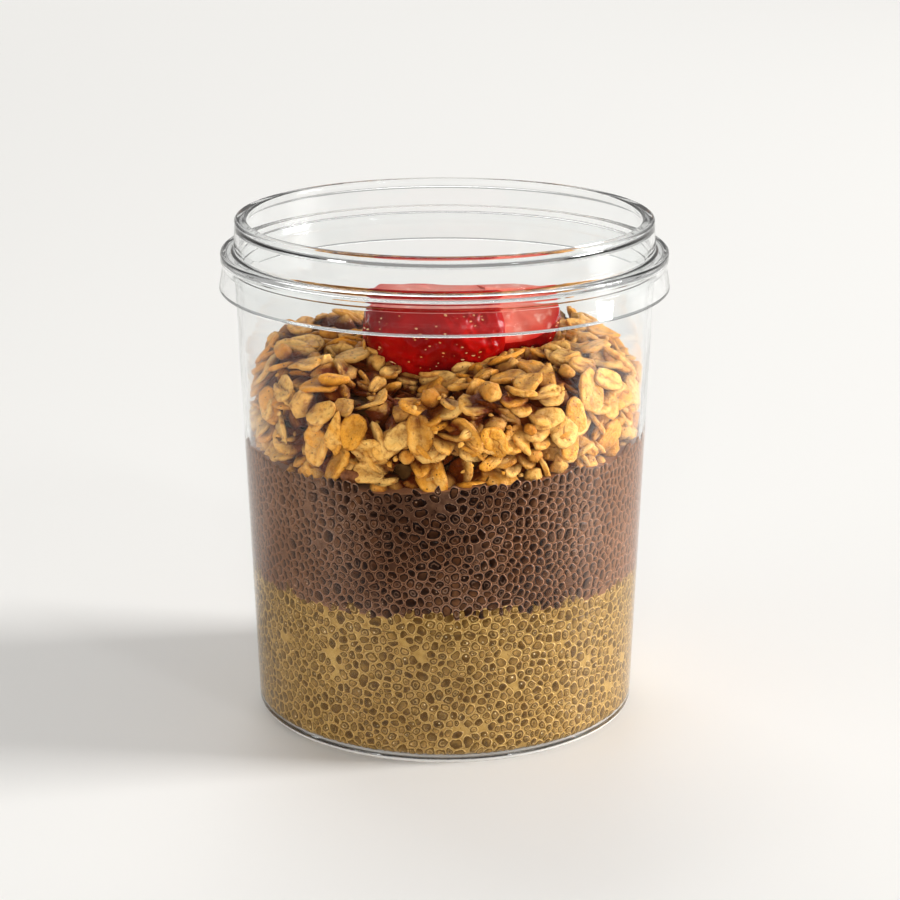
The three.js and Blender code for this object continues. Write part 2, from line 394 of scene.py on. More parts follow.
def pudding(name, bottom, top, low, high):
    """A solid of revolution whose two ends follow the lines between the foods."""
    radius, height = skin_point(np.linspace(bottom, top, 44), 0.0)
    outline = [(r, height[0]) for r in np.linspace(0, radius[0] - EDGE_ROW, 8)]
    outline += list(zip(radius, height))
    outline += [(r, top) for r in np.linspace(radius[-1] - EDGE_ROW, 0, 12)]
    form = spun(outline, PUDDING_STEPS)
    for vert in form.verts:
        x, y, z = vert.co / MM
        share = min(1.0, max(0.0, (z - bottom) / (top - bottom)))
        vert.co.z += ((1 - share) * low(x, y) + share * high(x, y)) * MM
    return placed(form, name)


pale_body = pudding(
    "chia_pale_body", 1.75, PALE_TOP,
    lambda x, y: 0.0, lambda x, y: pale_line(x, y) - PALE_TOP,
)
dark_body = pudding(
    "chia_dark_body", PALE_TOP - 0.2, DARK_TOP,
    lambda x, y: pale_line(x, y) - PALE_TOP, lambda x, y: dark_line(x, y) - DARK_TOP,
)

SEED_SIDES = 14
SEED_HEIGHT = 0.2
SEED_SPACING = 1.98
SEED_LONG = 1.24
SEED_UNEVEN = 0.17
SEED_NARROW = (0.54, 0.82)
SEED_PRESS = 0.97
SEED_ROUNDS = 75
SEEDLESS_SHARE = 0.01
ROW_GAP = 0.866
CELL_POWER = 8
BEDDED = 0.4
LOOK_EVERY = 6
LOOK_REACH = 0.4
TURN_KEPT = 0.02


def as_arrays(form):
    """A small form's corners and faces, ready to be repeated."""
    form.verts.index_update()
    corners = np.array([v.co[:] for v in form.verts])
    faces = [[v.index for v in f.verts] for f in form.faces]
    form.free()
    return corners, faces


def joined(name, copies):
    """One mesh from many placed copies: corners in mm, faces, and named looks per corner."""
    mesh = bpy.data.meshes.new(name)
    faces = []
    base = 0
    for corners, sides, looks in copies:
        faces += [[base + i for i in side] for side in sides]
        base += len(corners)
    places = np.concatenate([corners for corners, sides, looks in copies]) * MM
    mesh.from_pydata(places.tolist(), [], faces)
    for label in copies[0][2]:
        layer = mesh.attributes.new(label, "FLOAT_VECTOR", "POINT")
        values = np.concatenate([looks[label] for corners, sides, looks in copies])
        layer.data.foreach_set("vector", values.astype(np.float32).ravel())
    mesh.shade_smooth()
    piece = bpy.data.objects.new(name, mesh)
    bpy.context.collection.objects.link(piece)
    return piece


def finder(spots):
    """A tree of places, which finds the nearest ones."""
    found = kdtree.KDTree(len(spots))
    for i, spot in enumerate(spots):
        found.insert(spot, i)
    found.balance()
    return found


def touching(spots, owner, sizes, reach):
    """Pairs of balls of different pieces that are, or nearly are, in contact."""
    found = finder(spots)
    first = []
    second = []
    for i, spot in enumerate(spots):
        for near, j, gap in found.find_range(spot, 2 * sizes[i] + reach):
            if (sizes[j], j) < (sizes[i], i) and owner[i] != owner[j]:
                first.append(i)
                second.append(j)
    return np.array(first), np.array(second)


def spread(owner, values, count):
    """Sums rows of values for each of their owners."""
    return np.stack([np.bincount(owner, column, count) for column in values.T], 1)


def settle(arms, owner, sizes, centres, turns, hold, rounds):
    """Eases overlapping pieces apart. Each piece is a rigid row or raft of small balls."""
    count = len(centres)
    share = np.bincount(owner, minlength=count)[:, None]
    spots = centres[owner] + np.einsum("nij,nj->ni", turns[owner], arms)
    for step in range(rounds):
        if step % LOOK_EVERY == 0:
            first, second = touching(spots, owner, sizes, LOOK_REACH)
        gap = spots[second] - spots[first]
        length = np.maximum(np.linalg.norm(gap, axis=1), 1e-6)
        press = np.clip(sizes[first] + sizes[second] - length, 0, None)
        shove = gap * (press / length / 2)[:, None]
        hits = np.bincount(first, press > 0, len(spots)) + np.bincount(second, press > 0, len(spots))
        move = spread(second, shove, len(spots)) - spread(first, shove, len(spots))
        spots = hold(spots + move / np.maximum(hits, 1)[:, None], sizes)
        centres = spread(owner, spots, count) / share
        spin = (spots - centres[owner])[:, :, None] * arms[:, None, :]
        spin = spread(owner, spin.reshape(-1, 9), count).reshape(-1, 3, 3) + TURN_KEPT * turns
        left, stretch, right = np.linalg.svd(spin)
        left[:, :, 2] *= np.sign(np.linalg.det(left @ right))[:, None]
        turns = left @ right
        spots = centres[owner] + np.einsum("nij,nj->ni", turns[owner], arms)
    return centres, turns


# A seed is a closed dome with a flat back, one unit in radius and height before it is sized.
dome_outline = [(0, 1), (0.55, 0.84), (0.85, 0.5), (1, 0), (0, -0.5)]
dome, dome_faces = as_arrays(spun(dome_outline, SEED_SIDES, 1))
dome_angle = np.arctan2(dome[:, 1], dome[:, 0])


def oval_reach(angle, long, short):
    """Distance from the middle of an oval to its edge."""
    return 1 / np.sqrt((np.cos(angle) / long) ** 2 + (np.sin(angle) / short) ** 2)


def seeds(name, low, high, low_line, high_line, fill, draw):
    """Oval seeds jostle for room on the wall, then each swells to fill its own cell."""
    chance = np.random.default_rng(draw)
    ring = inner_radius((low + high) / 2) + SKIN_DEPTH
    count = int(math.tau * ring * (high - low) / (ROW_GAP * SEED_SPACING ** 2))
    long = SEED_LONG * np.exp(chance.normal(0, SEED_UNEVEN, count))
    short = long * chance.uniform(*SEED_NARROW, count)
    angle = chance.random(count) * math.tau
    centres = np.stack(
        [ring * np.sin(angle), -ring * np.cos(angle), chance.uniform(low, high, count)], 1,
    )
    lie = chance.random(count) * math.pi
    around = np.stack([np.cos(angle), np.sin(angle), np.zeros(count)], 1)
    outward = np.stack([np.sin(angle), -np.cos(angle), np.zeros(count)], 1)
    upward = np.array([0.0, 0.0, 1.0])
    along = around * np.cos(lie)[:, None] + upward * np.sin(lie)[:, None]
    turns = np.stack([along, np.cross(outward, along), outward], 2)
    arms = np.zeros((count, 3, 3))
    arms[:, 0, 0] = short - long
    arms[:, 2, 0] = long - short

    def on_wall(spots, sizes):
        reach = np.linalg.norm(spots[:, :2], axis=1)
        spots[:, :2] *= (ring / reach)[:, None]
        spots[:, 2] = np.clip(spots[:, 2], low, high)
        return spots

    centres, turns = settle(
        arms.reshape(-1, 3), np.repeat(np.arange(count), 3), np.repeat(short, 3) * SEED_PRESS,
        centres, turns, on_wall, SEED_ROUNDS,
    )
    angle = np.arctan2(centres[:, 0], -centres[:, 1])
    along = turns[:, :, 0]
    sideways = np.cos(angle) * along[:, 0] + np.sin(angle) * along[:, 1]
    lie = np.arctan2(along[:, 2], sideways)
    found = finder(centres)
    copies = []
    for i, (x, y, v) in enumerate(centres):
        tone, kept = chance.random(2)
        if kept < SEEDLESS_SHARE or not low_line(x, y) + BEDDED < v < high_line(x, y) - BEDDED:
            continue
        near = np.array([j for place, j, gap in found.find_n(centres[i], 9)[1:]])
        swing = (angle[near] - angle[i] + math.pi) % math.tau - math.pi
        across = swing * ring
        rise = centres[near, 2] - v
        gap = np.maximum(np.hypot(across, rise), 0.3)
        facing = np.arctan2(rise, across)
        mine = oval_reach(facing - lie[i], long[i], short[i])
        theirs = oval_reach(facing - lie[near], long[near], short[near])
        reach = gap * mine / (mine + theirs)
        cell = (np.clip(np.cos(dome_angle[:, None] - facing), 0, None) / reach) ** CELL_POWER
        seed = oval_reach(dome_angle - lie[i], long[i] * fill, short[i] * fill) ** -CELL_POWER
        size = (cell.sum(1) + seed) ** (-1 / CELL_POWER)
        radius, level = skin_point(v + dome[:, 1] * size, dome[:, 2] * SEED_HEIGHT)
        turn = angle[i] + dome[:, 0] * size / ring
        corners = np.stack([radius * np.sin(turn), -radius * np.cos(turn), level], 1)
        look = np.stack([dome[:, 0], dome[:, 1], np.full(len(dome), tone)], 1)
        luck = np.tile(chance.random(3), (len(dome), 1))
        copies.append((corners, dome_faces, {"seed": look, "luck": luck}))
    return joined(name, copies)


pale_seeds = seeds(
    "chia_pale_seeds", 2.4, 33.4,
    lambda x, y: 1.6, lambda x, y: pale_line(x, y) + 1.1, 1.32, 11,
)
dark_seeds = seeds(
    "chia_dark_seeds", 30.4, 63.6,
    lambda x, y: pale_line(x, y) - 0.3, lambda x, y: dark_line(x, y) + 0.8, 1.4, 12,
)


def effect(name, inputs, outputs):
    """An empty shader group with named colour and value sockets."""
    tree = bpy.data.node_groups.new(name, "ShaderNodeTree")
    for label, value in inputs.items():
        kind = "NodeSocketColor" if isinstance(value, tuple) else "NodeSocketFloat"
        socket = tree.interface.new_socket(label, in_out="INPUT", socket_type=kind)
        socket.default_value = (*value, 1) if isinstance(value, tuple) else value
    for label, kind in outputs.items():
        tree.interface.new_socket(label, in_out="OUTPUT", socket_type=kind)
    return tree, tree.nodes.new("NodeGroupInput"), tree.nodes.new("NodeGroupOutput")


def blended(tree, share, first, second, how="MIX"):
    mix = tree.nodes.new("ShaderNodeMix")
    mix.data_type = "RGBA"
    mix.blend_type = how
    link(tree, share, mix.inputs[0])
    link(tree, first, mix.inputs[6])
    link(tree, second, mix.inputs[7])
    return mix.outputs[2]


def own_look(tree, label):
    look = tree.nodes.new("ShaderNodeAttribute")
    look.attribute_name = label
    return look.outputs["Vector"]


def placed_group(tree, group, **values):
    node = tree.nodes.new("ShaderNodeGroup")
    node.node_tree = group
    for label, value in values.items():
        link(tree, value, node.inputs[label.replace("_", " ")])
    return node.outputs


# Both puddings share one gel: cloudy, with fine flecks. The pale layer also gets a broken thin
# line of painted shade, standing in for the shading of a fine groove round the pot's wall.
tree, ends, out = effect(
    "gel_cloud",
    {"Thick": (0.4, 0.3, 0.1), "Thin": (0.5, 0.4, 0.2), "Fleck": (0.2, 0.1, 0.0)},
    {"Color": "NodeSocketColor"},
)
gel_cloud = tree
place = object_place(tree)
shade = ranged(tree, grain(tree, place, 700.0, 4.0, 0.6), 0.38, 0.62)
shade = blended(tree, shade, ends.outputs["Thick"], ends.outputs["Thin"])
buried = tree.nodes.new("ShaderNodeTexVoronoi")
buried.inputs["Scale"].default_value = 520.0
tree.links.new(place, buried.inputs["Vector"])
depth = ranged(tree, buried.outputs["Distance"], 0.25, 0.5, 0.55, 0.0)
shade = blended(tree, depth, shade, ends.outputs["Fleck"])
flecks = ranged(tree, grain(tree, place, 1300.0, 1.0), 0.67, 0.72)
shade = blended(tree, flecks, shade, ends.outputs["Fleck"])
tree.links.new(shade, out.inputs["Color"])

# Seed pattern: a core of random tone with a painted lit side, painted highlight arcs and a painted
# glint, then a dark skin, a pale halo and the gel round it.
tree, ends, out = effect(
    "swollen_seed",
    {
        "Core": (0.1, 0.1, 0.1), "Pale Core": (0.2, 0.2, 0.2), "Skin": (0.05, 0.05, 0.05),
        "Halo": (0.5, 0.5, 0.5), "Gel": (0.4, 0.4, 0.4), "Spark": (0.8, 0.7, 0.5),
    },
    {"Color": "NodeSocketColor"},
)
swollen_seed = tree
place = object_place(tree)
across, along, tone = split(tree, own_look(tree, "seed"))
disc = tree.nodes.new("ShaderNodeCombineXYZ")
tree.links.new(across, disc.inputs["X"])
tree.links.new(along, disc.inputs["Y"])
from_middle = tree.nodes.new("ShaderNodeVectorMath")
from_middle.operation = "LENGTH"
tree.links.new(disc.outputs[0], from_middle.inputs[0])
wobble = ranged(tree, grain(tree, place, 1500.0, 2.0), 0.3, 0.7, -0.1, 0.1)
ring = maths(tree, "ADD", from_middle.outputs["Value"], wobble)
turned, glints, ringed = split(tree, own_look(tree, "luck"))
# Painted shading: each seed's core is paler on one side, at a bearing drawn for it, as if lit from
# there.
bearing = maths(tree, "MULTIPLY", turned, math.tau)
towards_x = maths(tree, "COSINE", bearing)
towards_y = maths(tree, "SINE", bearing)
painted_lit_side = maths(
    tree, "ADD", maths(tree, "MULTIPLY", across, towards_x),
    maths(tree, "MULTIPLY", along, towards_y),
)
tone = maths(tree, "ADD", tone, maths(tree, "MULTIPLY", painted_lit_side, 0.55))
tone = ranged(tree, tone, 0.15, 1.15)
core_and_painted_light = blended(tree, tone, ends.outputs["Core"], ends.outputs["Pale Core"])
mottle = ranged(tree, grain(tree, place, 1100.0, 3.0), 0.35, 0.65, 0.7, 1.3)
mottle_tone = tree.nodes.new("ShaderNodeCombineColor")
for channel in ("Red", "Green", "Blue"):
    tree.links.new(mottle, mottle_tone.inputs[channel])
core_and_painted_light = blended(tree, 1.0, core_and_painted_light, mottle_tone.outputs[0], "MULTIPLY")
# Painted highlight: broken pale arcs on a ring inside some seeds.
inner_ring_highlight = maths(tree, "ABSOLUTE", maths(tree, "SUBTRACT", ring, 0.40))
inner_ring_highlight = ranged(tree, inner_ring_highlight, 0.05, 0.12, 0.5, 0.0)
inner_ring_highlight = maths(tree, "MULTIPLY", inner_ring_highlight, ranged(tree, ringed, 0.45, 0.6))
highlight_arcs = ranged(tree, grain(tree, place, 900.0, 1.0), 0.4, 0.55)
core_and_painted_light = blended(tree, maths(tree, "MULTIPLY", inner_ring_highlight, highlight_arcs), core_and_painted_light, ends.outputs["Halo"])
shade = blended(tree, ranged(tree, ring, 0.52, 0.68), core_and_painted_light, ends.outputs["Skin"])
# Painted glint: a small pale dot on the lit side of a few seeds.
gap_x = maths(tree, "SUBTRACT", across, maths(tree, "MULTIPLY", towards_x, 0.34))
gap_y = maths(tree, "SUBTRACT", along, maths(tree, "MULTIPLY", towards_y, 0.34))
far = maths(
    tree, "ADD", maths(tree, "MULTIPLY", gap_x, gap_x), maths(tree, "MULTIPLY", gap_y, gap_y),
)
painted_glint = ranged(tree, far, 0.006, 0.03, 1.0, 0.0)
painted_glint = maths(tree, "MULTIPLY", painted_glint, ranged(tree, glints, 0.8, 0.97, 0.0, 0.9))
shade = blended(tree, painted_glint, shade, ends.outputs["Spark"])
shade = blended(tree, ranged(tree, ring, 0.80, 0.89), shade, ends.outputs["Halo"])
shade = blended(tree, ranged(tree, ring, 0.96, 1.06), shade, ends.outputs["Gel"])
tree.links.new(shade, out.inputs["Color"])

# Painted shade: a broken thin dark line at one height, standing in for the shading of a fine groove
# round the pot's wall.
tree, ends, out = effect(
    "groove_shade_line", {"Color": (0.5, 0.5, 0.5), "Height": 0.03, "Seam": (0.1, 0.1, 0.1)},
    {"Color": "NodeSocketColor"},
)
groove_shade_line = tree
place = object_place(tree)
waver = ranged(tree, grain(tree, place, 160.0, 2.0), 0.3, 0.7, -0.0002, 0.0002)
offset = maths(tree, "SUBTRACT", split(tree, place)["Z"], ends.outputs["Height"])
off_groove = maths(tree, "ABSOLUTE", maths(tree, "ADD", offset, waver))
near_groove = ranged(tree, off_groove, 0.00009, 0.00016, 0.75, 0.0)
broken = ranged(tree, grain(tree, place, 90.0, 2.0), 0.42, 0.5)
strength = maths(tree, "MULTIPLY", near_groove, broken)
shade = blended(tree, strength, ends.outputs["Color"], ends.outputs["Seam"])
tree.links.new(shade, out.inputs["Color"])


def drifts_and_painted_haze(tree, colour, tint, most, murk):
    """Cloudy gel: darker and lighter drifts, and painted reflection haze, paler towards a tint where
    the eye skims along the wall.
    """
    drift = ranged(tree, grain(tree, object_place(tree), 48.0, 2.0), 0.36, 0.64)
    colour = blended(tree, drift, blended(tree, 1.0, colour, murk, "MULTIPLY"), colour)
    # Painted reflection: the colour turns towards the tint at grazing angles, standing in for the
    # wall's reflection of the bright room.
    skim = tree.nodes.new("ShaderNodeLayerWeight")
    skim.inputs["Blend"].default_value = 0.5
    share = ranged(tree, skim.outputs["Facing"], 0.1, 0.75, 0.0, most)
    return blended(tree, share, colour, tint)


# The pale layer's colour gets the painted groove shade, the drifts and a light painted reflection haze.
def pale_groove_drifts_and_haze(tree, shader, colour):
    grooved = placed_group(
        tree, groove_shade_line, Color=colour, Height=GROOVE_LINE * MM, Seam=(0.07, 0.035, 0.012),
    )
    colour = drifts_and_painted_haze(tree, grooved["Color"], (0.68, 0.45, 0.15), 0.22, (0.90, 0.88, 0.84))
    tree.links.new(colour, shader.inputs["Base Color"])


# The dark layer's colour gets the drifts and a strong painted reflection haze.
def dark_drifts_and_haze(tree, shader, colour):
    colour = drifts_and_painted_haze(tree, colour, (0.41, 0.195, 0.10), 0.9, (0.47, 0.39, 0.33))
    tree.links.new(colour, shader.inputs["Base Color"])


PALE_GEL = (0.35, 0.203, 0.052)
DARK_GEL = (0.10, 0.051, 0.031)

pale_gel, tree, shader = material("pale_gel", 0.35, 0.08)
cloud = placed_group(
    tree, gel_cloud, Thick=PALE_GEL, Thin=(0.43, 0.27, 0.082), Fleck=(0.17, 0.08, 0.014),
)
pale_groove_drifts_and_haze(tree, shader, cloud["Color"])

dark_gel, tree, shader = material("dark_gel", 0.35, 0.06)
cloud = placed_group(
    tree, gel_cloud, Thick=DARK_GEL, Thin=(0.17, 0.088, 0.052), Fleck=(0.03, 0.009, 0.003),
)
dark_drifts_and_haze(tree, shader, cloud["Color"])

pale_seed_skin, tree, shader = material("pale_seed_skin", 0.2, 0.12)
rings = placed_group(
    tree, swollen_seed, Core=(0.075, 0.034, 0.005), Pale_Core=(0.29, 0.165, 0.044),
    Skin=(0.10, 0.045, 0.006), Halo=(0.64, 0.425, 0.155), Gel=PALE_GEL, Spark=(0.95, 0.80, 0.50),
)
pale_groove_drifts_and_haze(tree, shader, rings["Color"])

dark_seed_skin, tree, shader = material("dark_seed_skin", 0.2, 0.12)
rings = placed_group(
    tree, swollen_seed, Core=(0.014, 0.004, 0.001), Pale_Core=(0.115, 0.048, 0.020),
    Skin=(0.008, 0.002, 0.0005), Halo=(0.33, 0.205, 0.145), Gel=DARK_GEL, Spark=(0.55, 0.36, 0.25),
)
dark_drifts_and_haze(tree, shader, rings["Color"])

for piece, node, slot, paint in (
    (pale_body, "chia_pale", "pale_chia", pale_gel),
    (pale_seeds, "chia_pale", "pale_chia", pale_seed_skin),
    (dark_body, "chia_dark", "dark_chia", dark_gel),
    (dark_seeds, "chia_dark", "dark_chia", dark_seed_skin),
):
    piece.data.materials.append(paint)
    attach(piece, "root")
    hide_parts(node)

# Strawberry: two pieces of one berry, a large one that shows its skin and a smaller one
# that shows its cut faces. They are pressed into the top of the heap.
LARGE_BERRY = {
    "length": 32, "wide": 27, "tilt": -4, "turn": -20, "middle": (-1.2, -3, 83.2),
    "cuts": [((0.0, 0.05, 1.0), 7.5), ((0.93, 0.37, 0.0), 9.8)],
}
SMALL_BERRY = {
    "length": 20.6, "wide": 21, "tilt": -3, "turn": 8, "middle": (14.5, 0.5, 85.6),
    "cuts": [((0.12, -0.6, 0.79), 3.2), ((-0.93, -0.37, 0.0), 5.6), ((0.05, 0.12, 0.99), 4.7)],
}
BERRY_STEPS = 110
BERRY_SIDES = 180
GOLDEN_TURN = 2.39996
ACHENE_GAP = 2.15
ACHENE_SIZE = (0.40, 0.19)
ACHENE_THICK = 0.14
ACHENE_SUNK = 0.4
DIMPLE_DEPTH = 0.45
DIMPLE_RADIUS = 0.7
DIMPLE_LIP = 0.14
CUT_RINGS = [(0.2, 0.96), (0.4, 0.92), (0.6, 0.88), (0.8, 0.8), (0.9, 0.65), (1, 0.4)]


def berry_outline(t, wide):
    """Radius at a share t of the length, from the broad shoulder to the rounded tip."""
    if t < 0.3:
        return wide / 2 * math.sqrt(max(0.0, 1 - (1 - t / 0.3) ** 2))
    return wide / 2 * math.sqrt(max(0.0, 1 - ((t - 0.3) / 0.7) ** 2.2))


def achene_places(length, wide, chance):
    """Places for the seeds, in a loose spiral from the shoulder to the tip."""
    places = []
    count = int(length * wide * 2.5 / ACHENE_GAP ** 2)
    for i in range(count):
        t = 0.02 + 0.96 * ((i + 0.5) / count) + chance.normal(0, 0.6 / length)
        angle = i * GOLDEN_TURN + chance.normal(0, 0.25)
        t = min(0.99, max(0.01, t))
        r = berry_outline(t, wide)
        places.append(Vector(((t - 0.5) * length, r * math.cos(angle), r * math.sin(angle))))
    return places


def berry_lie(size):
    """How a berry lies: the long way along X, then tipped and turned."""
    turn = Matrix.Rotation(math.radians(size["turn"]), 3, "Z")
    return turn @ Matrix.Rotation(math.radians(size["tilt"]), 3, "Y")


def sliced(form, place, faces, snap=0.0):
    """Takes off what lies beyond a plane and closes the cut, and gives the face that closes it."""
    geometry = form.verts[:] + form.edges[:] + form.faces[:]
    bmesh.ops.bisect_plane(
        form, geom=geometry, dist=snap, plane_co=place, plane_no=faces, clear_outer=True,
    )
    rim = [edge for edge in form.edges if edge.is_boundary]
    closing = bmesh.ops.holes_fill(form, edges=rim, sides=0)["faces"]
    bmesh.ops.recalc_face_normals(form, faces=form.faces)
    return closing


def berry_piece(name, size, draw):
    """A dimpled berry with flat slices taken off, and the seeds that sit in its dimples."""
    chance = np.random.default_rng(draw)
    length = size["length"]
    wide = size["wide"]
    lie = berry_lie(size)
    middle = Vector(size["middle"])
    cuts = [(Vector(faces).normalized(), height) for faces, height in size["cuts"]]
    turns = [math.pi * i / BERRY_STEPS for i in range(BERRY_STEPS + 1)]
    shares = [(1 - math.cos(turn)) / 2 for turn in turns]
    outline = [(berry_outline(t, wide), (t - 0.5) * length) for t in shares]
    outline[0] = (0, -length / 2)
    outline[-1] = (0, length / 2)
    form = spun(outline, BERRY_SIDES)
    lying = Matrix.Rotation(math.pi / 2, 3, "Y")
    bmesh.ops.rotate(form, verts=form.verts, cent=(0, 0, 0), matrix=lying)
    spots = achene_places(length, wide, chance)
    found = finder(spots)
    form.normal_update()
    for vert in form.verts:
        here = vert.co / MM
        gap = found.find(here)[2]
        dimple = DIMPLE_DEPTH * math.exp(-(gap / DIMPLE_RADIUS) ** 2)
        dimple -= DIMPLE_LIP * math.exp(-((gap - 1.3) / 0.45) ** 2)
        swell = 0.45 * noise.noise(here * 0.16) + 0.25 * noise.noise(here * 0.42)
        from_cut = min(height - (lie @ here).dot(faces) for faces, height in cuts)
        dimple *= min(1.0, max(0.0, (from_cut - 0.8) / 1.2))
        vert.co -= vert.normal * (dimple - swell) * MM
    bmesh.ops.rotate(form, verts=form.verts, cent=(0, 0, 0), matrix=lie)
    inward = form.verts.layers.float.new("inward")
    for faces, height in cuts:
        flesh = sliced(form, faces * height * MM, faces, 1e-7)
        for share, keep in CUT_RINGS:
            ring = bmesh.ops.inset_region(form, faces=flesh, thickness=0)["faces"]
            heart = flesh[0].calc_center_median()
            bmesh.ops.scale(
                form, verts=flesh[0].verts, vec=(keep, keep, keep), space=Matrix.Translation(-heart),
            )
            for vert in flesh[0].verts:
                vert[inward] = share
                vert.co += faces * 0.2 * noise.noise(vert.co / MM * 0.2) * MM
            for face in ring + flesh:
                face.material_index = 1
    bmesh.ops.triangulate(form, faces=[face for face in form.faces if len(face.verts) > 4])
    bmesh.ops.translate(form, verts=form.verts, vec=middle * MM)
    piece = placed(form, name)
    piece.data.set_sharp_from_angle(angle=math.radians(38))
    bearers = []
    for spot in spots:
        if any((lie @ spot).dot(faces) > height - DIMPLE_RADIUS for faces, height in cuts):
            continue
        out = Vector((spot.x * 0.35, spot.y, spot.z)).normalized()
        along = Vector((1, 0, 0)) - out * out.x
        turn = Matrix((along.normalized(), out.cross(along).normalized(), out)).transposed()
        turn = lie @ turn @ Matrix.Rotation(chance.normal(0, 0.25), 3, "Z")
        scale = chance.uniform(0.45, 1.05)
        shape = dome * (ACHENE_SIZE[0] * scale, ACHENE_SIZE[1] * scale, ACHENE_THICK)
        seat = lie @ (spot - out * ACHENE_SUNK) + middle
        corners = shape @ np.array(turn).T + np.array(seat)
        bearers.append((corners, dome_faces, {"own": np.full((len(dome), 3), chance.random())}))
    return piece, joined(name + "_seeds", bearers)


large_piece, large_seeds = berry_piece("strawberry_big_piece", LARGE_BERRY, 21)
small_piece, small_seeds = berry_piece("strawberry_small_piece", SMALL_BERRY, 22)

berry_skin, tree, shader = material("berry_skin", 0.08, 0.2)
place = object_place(tree)
patch = ranged(tree, grain(tree, place, 90.0, 3.0), 0.35, 0.65)
shade = blended(tree, patch, (0.13, 0.001, 0.001), (0.40, 0.002, 0.001))
blush = ranged(tree, grain(tree, place, 45.0, 1.0), 0.6, 0.78, 0.0, 0.3)
shade = blended(tree, blush, shade, (0.78, 0.11, 0.03))
tree.links.new(shade, shader.inputs["Base Color"])
raised(tree, shader, grain(tree, place, 330.0, 2.0), 0.45, 0.0004)

berry_flesh, tree, shader = material("berry_flesh", 0.42, 0.22)
place = object_place(tree)
depth = tree.nodes.new("ShaderNodeAttribute")
depth.attribute_name = "inward"
patch = ranged(tree, grain(tree, place, 140.0, 3.0), 0.3, 0.7, -0.25, 0.25)
pale = maths(tree, "ADD", depth.outputs["Fac"], patch)
shade = blended(tree, ranged(tree, pale, 0.0, 0.45), (0.50, 0.013, 0.009), (0.62, 0.075, 0.042))
shade = blended(tree, ranged(tree, pale, 0.4, 1.2), shade, (0.72, 0.23, 0.17))
streak = tree.nodes.new("ShaderNodeMapping")
streak.inputs["Scale"].default_value = (1.0, 0.3, 1.0)
tree.links.new(place, streak.inputs["Vector"])
veins = ranged(tree, grain(tree, streak.outputs["Vector"], 420.0, 2.0), 0.58, 0.72, 0.0, 0.6)
shade = blended(tree, veins, shade, (0.86, 0.52, 0.42))
tree.links.new(shade, shader.inputs["Base Color"])
shader.inputs["Subsurface Weight"].default_value = 0.3
shader.inputs["Subsurface Radius"].default_value = (1.0, 0.3, 0.2)
shader.inputs["Subsurface Scale"].default_value = 0.0015
raised(tree, shader, grain(tree, place, 260.0, 3.0), 0.5, 0.0006)

achene_shell, tree, shader = material("achene_shell", 0.3, 0.5)
shade = blended(tree, split(tree, own_look(tree, "own"))["X"], (0.70, 0.30, 0.06), (0.90, 0.62, 0.30))
tree.links.new(shade, shader.inputs["Base Color"])

for piece, node, paints in (
    (large_piece, "strawberry_large", (berry_skin, berry_flesh)),
    (large_seeds, "strawberry_large", (achene_shell,)),
    (small_piece, "strawberry_small", (berry_skin, berry_flesh)),
    (small_seeds, "strawberry_small", (achene_shell,)),
):
    for paint in paints:
        piece.data.materials.append(paint)
    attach(piece, "root")
    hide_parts(node)

# Granola: a loose heap of toasted oat flakes, broken flakes, slivers, crisp balls and
# crumbs. They lie over a rough packed core and crowd against the wall of the pot.
HEAP_EDGE = 71.0
HEAP_CREST = 82.5
HEAP_CENTRE = 80.5
CREST_RADIUS = 30.0
SHOULDER = 4.5
CORE_DEPTH = 5.8
CORE_RADIUS = 36.5
HEAP_BOTTOM = DARK_TOP - 2.5
HEAP_HALF = 42
HOLLOW_DEPTH = 6
HOLLOW_PLACE = (-8, -26)
HOLLOW_SPREAD = 10
BALL = 0.66


def heap_top(x, y):
    """Level of the heap's outline: a high ring, a rounded shoulder and a hollow for the fruit."""
    r = np.hypot(x, y)
    wall = inner_radius(HEAP_EDGE) - SKIN_DEPTH
    middle = HEAP_CENTRE + (HEAP_CREST - HEAP_CENTRE) * (r / CREST_RADIUS) ** 2
    out = np.clip((r - CREST_RADIUS) / (wall - CREST_RADIUS), 0, 1)
    slope = HEAP_CREST + (HEAP_EDGE - HEAP_CREST) * out ** SHOULDER
    lumps = 0.8 * np.sin(0.47 * x + 0.4) * np.sin(0.43 * y + 1.9)
    lumps = lumps + 0.6 * np.sin(0.29 * x - 0.37 * y + 2.2)
    dip = hollow(x, y, HOLLOW_DEPTH, HOLLOW_PLACE, HOLLOW_SPREAD)
    return np.where(r < CREST_RADIUS, middle, slope) + lumps - dip


def core_top(x, y):
    wide = (inner_radius(HEAP_EDGE) - SKIN_DEPTH) / CORE_RADIUS
    return heap_top(x * wide, y * wide) - CORE_DEPTH


core_side = np.linspace(DARK_TOP - 1.5, HEAP_EDGE - CORE_DEPTH - 0.5, 8)
core_outline = [(r, HEAP_BOTTOM) for r in np.linspace(0, CORE_RADIUS, 24)]
core_outline += [(CORE_RADIUS, z) for z in core_side]
core_outline += [(r, HEAP_EDGE) for r in np.linspace(CORE_RADIUS, 0, 60)]
form = spun(core_outline, 220)
for vert in form.verts:
    x, y, z = vert.co / MM
    on_top = z > HEAP_EDGE - 1
    if on_top:
        vert.co.z = core_top(x, y) * MM
    here = Vector((x, y, vert.co.z / MM))
    rough = noise.noise(here * 0.45) * 1.1 + noise.noise(here * 1.3) * 0.4
    side = Vector((0, 0, 1)) if on_top else Vector((x, y, 0)).normalized()
    vert.co += side * rough * MM
bmesh.ops.recalc_face_normals(form, faces=form.faces)
granola_core = placed(form, "granola_core")


def bend(points, curl, arch, twist):
    """Curls a flat flake about its long axis, arches its length and twists its ends."""
    x, y, z = points.T
    turn = y * curl
    y, z = (1 / curl - z) * np.sin(turn), 1 / curl - (1 / curl - z) * np.cos(turn)
    lean = twist * x
    y, z = y * np.cos(lean) - z * np.sin(lean), y * np.sin(lean) + z * np.cos(lean)
    return np.stack([x, y, z + arch * x ** 2], 1)


